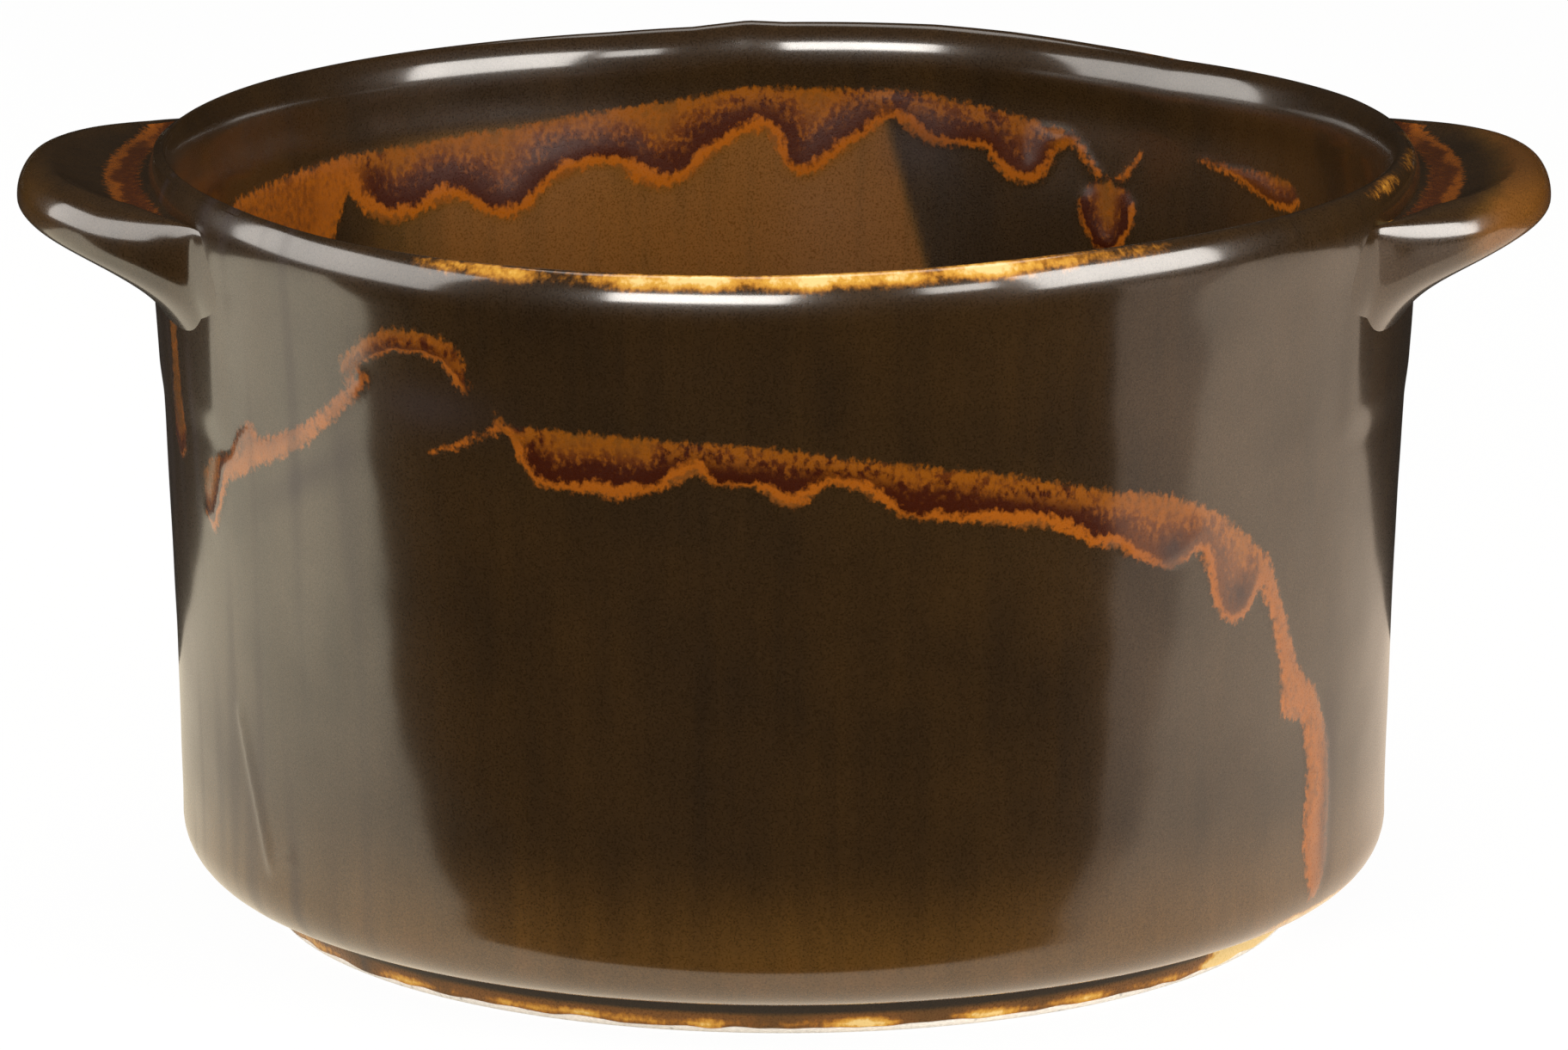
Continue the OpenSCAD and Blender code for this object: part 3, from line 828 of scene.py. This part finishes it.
class RAMEKIN_OT_glaze_lugs(bpy.types.Operator):
    """Shape both glazed lugs, which flow out of the wall and dish towards the rim"""
    bl_idname = "ramekin.glaze_lugs"
    bl_label = "Glaze lugs"

    def execute(self, context):
        reach_mm = context.scene.ramekin_form.lug_reach / MM
        for side, name in ((-1, "left_lug_glaze"), (1, "right_lug_glaze")):
            mesh, spots, angle, turn, reach = lug_grid(side, reach_mm, depth=0, wide=120, around=96)
            on_top = window(turn, 0.6, 0.66, 0.86, 0.9)
            band = np.where(on_top > 0.5, 1.3 - np.abs(reach - 1.6), -6)
            edge = np.abs(reach - 3.0)
            pool = np.full(reach.shape, 0.75)
            warm = 0.25 + (1.6 * smooth(4.0, 7.5, reach) if side > 0 else 0.3 * smooth(6, 8.5, reach))
            none = np.zeros(reach.shape)
            gold = 1.2 * hump(np.degrees(angle), -23, 2.2) * on_top if side > 0 else none
            store(mesh, spots, band=band, edge=edge, pool=pool, crown=none, warm=warm, gold=gold,
                  shade=none, dull=none)
            close_lug(mesh)
            finish_piece(mesh, name + "_skin", run_glaze_material(), name)
        return {"FINISHED"}


class RAMEKIN_OT_bare_clay(bpy.types.Operator):
    """Shape the clay under the rim and the lugs, and give clay, slip and the foot's well their finishes"""
    bl_idname = "ramekin.bare_clay"
    bl_label = "Bare clay"

    def execute(self, context):
        form = context.scene.ramekin_form
        colours = context.scene.ramekin_colours
        clay = clay_material("fired_stoneware", colours.clay, roughness=0.75)
        depth = form.skin / MM * 0.75
        outer_middle = (FOOT_R - FOOT_ROUND_R, FOOT_ROUND_R)
        inner_middle = (WELL_R + FOOT_ROUND_R, FOOT_ROUND_R)
        foot = arc(outer_middle, FOOT_ROUND_R, start=0, end=-90, steps=5)
        foot += arc(inner_middle, FOOT_ROUND_R, start=-90, end=-180, steps=5)
        foot += [(WELL_R, WELL_ROOF), (0, WELL_ROOF)]
        inner = offset(inside_profile(), -depth, keep=3)
        outer = offset(outside_profile(), depth, keep=2)[::-1]
        mesh = spun(inner + outer + foot, closed=False, turns=form.turns // 2)[0]
        spots, angle, radius, z = places(mesh)
        out = lip_thinning(angle, z, (radius - CREST_R) * 1.2)
        store(mesh, shifted(spots, radius, out, crest_dip(angle, z)))
        finish_piece(mesh, "clay_body", clay, "clay_cup")
        for side, name in ((-1, "left_lug"), (1, "right_lug")):
            mesh, spots = lug_grid(side, form.lug_reach / MM, depth, wide=60, around=48)[:2]
            store(mesh, spots)
            close_lug(mesh)
            finish_piece(mesh, name + "_clay", clay, name)

        # A bed of slip under each lug, from 0.45 to 0.2 mm below the wall's finished surface
        slip = clay_material("fired_slip", colours.slip, roughness=0.85)
        heights = stretch(46.5, 51.5, pace=1)
        half = math.radians(22)
        bed = [(wall_radius(z) - 0.2, z) for z in heights]
        bed += [(wall_radius(z) - 0.45, z) for z in reversed(heights)]
        for middle, name in ((math.pi, "left_lug_slip"), (0, "right_lug_slip")):
            mesh = spun(bed, closed=True, turns=24, start=middle - half, sweep=2 * half)[0]
            bmesh.ops.holes_fill(mesh, edges=mesh.edges, sides=0)
            finish_piece(mesh, name + "_bed", slip, name)
        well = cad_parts["foot_well_glaze"].data
        well.materials.clear()
        well.materials.append(well_glaze_material())
        return {"FINISHED"}


class RAMEKIN_OT_stage(bpy.types.Operator):
    """Set up the white table, the soft lights and the camera"""
    bl_idname = "ramekin.stage"
    bl_label = "Stage"

    def execute(self, context):
        scene = context.scene
        scene.view_settings.view_transform = "Standard"

        # White table whose front edge lies just before the pot, so that the wall mirrors the dark below it
        corners = [(-0.9, -0.05), (-0.24, -0.049), (-0.1, -0.05), (-0.05, -0.0505), (0, -0.0515),
                   (0.04, -0.055), (0.07, -0.062), (0.117, -0.085), (0.2, -0.13), (0.9, -0.52),
                   (0.9, 1.6), (-0.9, 1.6)]
        self.sheet("table", corners, 0, self.table_material())

        # A dark sheet on the table behind the pot, which only the glaze mirrors: it darkens the pot's sides
        dark, tree, shader = new_material("dark_room")
        shader.inputs["Base Color"].default_value = linear("#141310")
        shader.inputs["Roughness"].default_value = 0.9
        beyond = [(-0.9, 0.1), (-0.2, 0.077), (-0.119, 0.07), (-0.044, 0.062), (0.044, 0.069),
                  (0.12, 0.078), (0.9, 0.09), (0.9, 1.5), (-0.9, 1.5)]
        room = self.sheet("dark_room", beyond, 0.2 * MM, dark)
        room.visible_camera = False
        room.visible_diffuse = False
        room.visible_transmission = False
        room.visible_shadow = False

        # name, place, size across and up, radiance
        lamps = [("left_softbox", (-0.42, -0.03, 0.2), 0.42, 0.26, 3.4),
                 ("right_softbox", (0.37, -0.2, 0.19), 0.3, 0.2, 8.0),
                 ("front_softbox", (-0.2, -0.72, 0.31), 0.42, 0.2, 13.0),
                 ("front_right_lamp", (0.36, -0.62, 0.32), 0.16, 0.14, 6.5),
                 ("top_softbox", (0.0, 0.1, 0.7), 0.5, 0.3, 2.0)]
        aim = Vector((0, 0, 0.03))
        for name, spot, across, up, radiance in lamps:
            lamp = bpy.data.lights.new(name, "AREA")
            lamp.shape = "RECTANGLE"
            lamp.size = across
            lamp.size_y = up
            lamp.energy = radiance * math.pi * across * up
            lamp.color = (1, 0.95, 0.89)
            holder = bpy.data.objects.new(name, lamp)
            holder.location = spot
            holder.rotation_euler = (aim - Vector(spot)).to_track_quat("-Z", "Y").to_euler()
            scene.collection.objects.link(holder)

        # A room that is white to the camera, dim on the pot and nearly black in the glaze
        world = scene.world or bpy.data.worlds.new("studio")
        scene.world = world
        world.use_nodes = True
        tree = world.node_tree
        tree.nodes.clear()
        path = add(tree, "ShaderNodeLightPath")
        way = add(tree, "ShaderNodeTexCoord").outputs["Generated"]
        up = add(tree, "ShaderNodeSeparateXYZ", {0: way}).outputs[2]
        gloom = add(tree, "ShaderNodeValToRGB", {"Fac": up}, [
            (0.0, (0.012, 0.009, 0.006, 1)), (0.8, (0.05, 0.045, 0.04, 1))])
        dim = mixed(tree, path.outputs["Is Glossy Ray"], (0.22, 0.22, 0.22, 1), gloom.outputs[0])
        seen = mixed(tree, path.outputs["Is Camera Ray"], dim, (1, 1, 1, 1))
        sky = add(tree, "ShaderNodeBackground", {"Color": seen, "Strength": 1.0})
        add(tree, "ShaderNodeOutputWorld", {"Surface": sky.outputs[0]})

        # The camera as fitted to the photo: its distance, its tilt and the height that it looks at
        camera = bpy.data.cameras.new("camera")
        camera.lens = 223.3
        camera.sensor_width = 36
        camera.clip_end = 10
        camera.dof.use_dof = False
        holder = bpy.data.objects.new("camera", camera)
        target = Vector((0, 0, 0.02676))
        tilt = math.radians(13.65)
        distance = 0.691
        holder.location = target + distance * Vector((0, -math.cos(tilt), math.sin(tilt)))
        holder.rotation_euler = (target - holder.location).to_track_quat("-Z", "Y").to_euler()
        scene.collection.objects.link(holder)
        scene.camera = holder
        return {"FINISHED"}

    def sheet(self, name, corners, height, material):
        """A flat piece of the stage at a height, from its corners."""
        mesh = bmesh.new()
        mesh.faces.new([mesh.verts.new((x, y, height)) for x, y in corners])
        bmesh.ops.recalc_face_normals(mesh, faces=mesh.faces)
        data = bpy.data.meshes.new(name)
        mesh.to_mesh(data)
        mesh.free()
        data.materials.append(material)
        piece = bpy.data.objects.new(name, data)
        bpy.context.scene.collection.objects.link(piece)
        return piece

    def table_material(self):
        """White paper: matt, nearly white to the camera, and in the glaze a painted reflection of lit
        paper, warm and brighter on the left.
        """
        material, tree, shader = new_material("white_paper")
        shader.inputs["Base Color"].default_value = linear("#F2F2F0")
        shader.inputs["Roughness"].default_value = 0.9
        path = add(tree, "ShaderNodeLightPath")
        camera, glossy, through = (path.outputs["Is " + kind + " Ray"]
                                   for kind in ("Camera", "Glossy", "Transmission"))
        direct = add(tree, "ShaderNodeMath", {0: camera, 1: glossy}, operation="ADD").outputs[0]
        direct = add(tree, "ShaderNodeMath", {0: direct, 1: through}, operation="ADD", use_clamp=True)
        share = times(tree, direct.outputs[0], 0.94)
        # Painted reflection of lit paper for glossy rays: warm and brightest on the left, as if a lamp lit
        # it from there, painted shade on the part in front of the pot, and dimmer towards the back
        place = add(tree, "ShaderNodeTexCoord").outputs["Object"]
        across = add(tree, "ShaderNodeSeparateXYZ", {0: place})
        side = remap(tree, across.outputs[0], -0.2, 0.05)
        lit_paper = add(tree, "ShaderNodeValToRGB", {"Fac": side}, [
            (0.0, (1, 0.9, 0.7, 1)), (0.3, (0.93, 0.84, 0.64, 1)), (0.5, (0.64, 0.56, 0.43, 1)),
            (0.6, (0.71, 0.62, 0.47, 1)), (1.0, (0.72, 0.58, 0.45, 1))])
        front = remap(tree, across.outputs[1], -0.055, -0.05)
        warm = mixed(tree, front, (0.35, 0.275, 0.22, 1), lit_paper.outputs[0])
        away = remap(tree, across.outputs[1], -0.02, 0.03, 1.55, 1.25)
        warm = mixed(tree, 1.0, warm, away, blend_type="MULTIPLY")
        shown = mixed(tree, glossy, (1.02, 1.02, 1.02, 1), warm)
        white = add(tree, "ShaderNodeEmission", {"Color": shown, "Strength": 1.0})
        both = add(tree, "ShaderNodeMixShader", {0: share, 1: shader.outputs[0], 2: white.outputs[0]})
        output = next(n for n in tree.nodes if n.type == "OUTPUT_MATERIAL")
        tree.links.new(both.outputs[0], output.inputs["Surface"])
        return material


class RAMEKIN_PT_panel(bpy.types.Panel):
    """Steps that dress the ramekin"""
    bl_label = "Ramekin"
    bl_idname = "RAMEKIN_PT_panel"
    bl_space_type = "VIEW_3D"
    bl_region_type = "UI"
    bl_category = "Ramekin"

    def draw(self, context):
        for name in STEPS:
            self.layout.operator("ramekin." + name)
        for group in (context.scene.ramekin_form, context.scene.ramekin_colours):
            for key in group.bl_rna.properties.keys():
                if key not in ("rna_type", "name"):
                    self.layout.prop(group, key)


STEPS = ("glaze_outside", "glaze_inside", "glaze_lugs", "bare_clay", "stage")
CLASSES = (RamekinForm, RamekinColours, RAMEKIN_OT_glaze_outside, RAMEKIN_OT_glaze_inside,
           RAMEKIN_OT_glaze_lugs, RAMEKIN_OT_bare_clay, RAMEKIN_OT_stage, RAMEKIN_PT_panel)


def register():
    for item in CLASSES:
        bpy.utils.register_class(item)
    bpy.types.Scene.ramekin_form = bpy.props.PointerProperty(type=RamekinForm)
    bpy.types.Scene.ramekin_colours = bpy.props.PointerProperty(type=RamekinColours)


def unregister():
    del bpy.types.Scene.ramekin_colours
    del bpy.types.Scene.ramekin_form
    for item in reversed(CLASSES):
        bpy.utils.unregister_class(item)


def main():
    register()
    for name in STEPS:
        getattr(bpy.ops.ramekin, name)()


if __name__ == "__main__":
    main()
